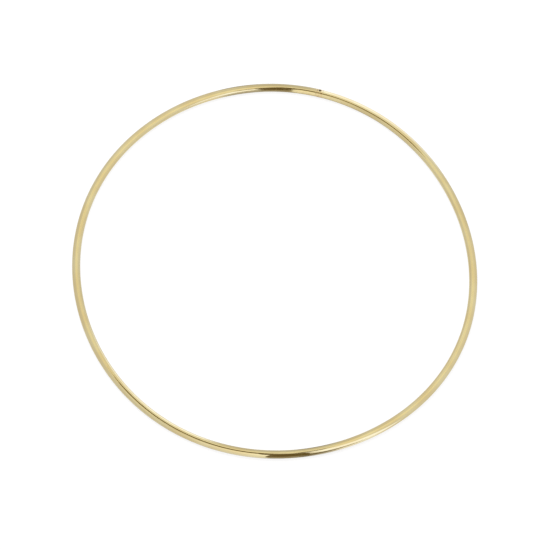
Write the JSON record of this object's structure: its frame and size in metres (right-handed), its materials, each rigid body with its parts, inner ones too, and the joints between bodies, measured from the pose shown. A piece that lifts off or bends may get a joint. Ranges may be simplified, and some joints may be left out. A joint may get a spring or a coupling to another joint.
{
  "type": "wreath frame",
  "caption": "Plain welded hoop of polished brass-coloured round wire; foliage, moss, ribbon or cord is bound onto it to make a wreath or hanging decoration.",
  "frame": {"origin": "centre of the hoop, halfway up the wire", "axes": "+Z is the hoop's own axis, so the hoop lies flat in X and Y; the butt weld is on the +Y side"},
  "size_m": [0.1504, 0.1503, 0.003],
  "materials": {
    "polished_brass": "bright polished, with fine drawing lines along the wire",
    "weld_brass": "dressed flush and polished, slightly darker and rougher than the wire"
  },
  "bodies": {
    "root": {"hoop_wire": "polished_brass", "butt_weld": "weld_brass"}
  },
  "joints": []
}
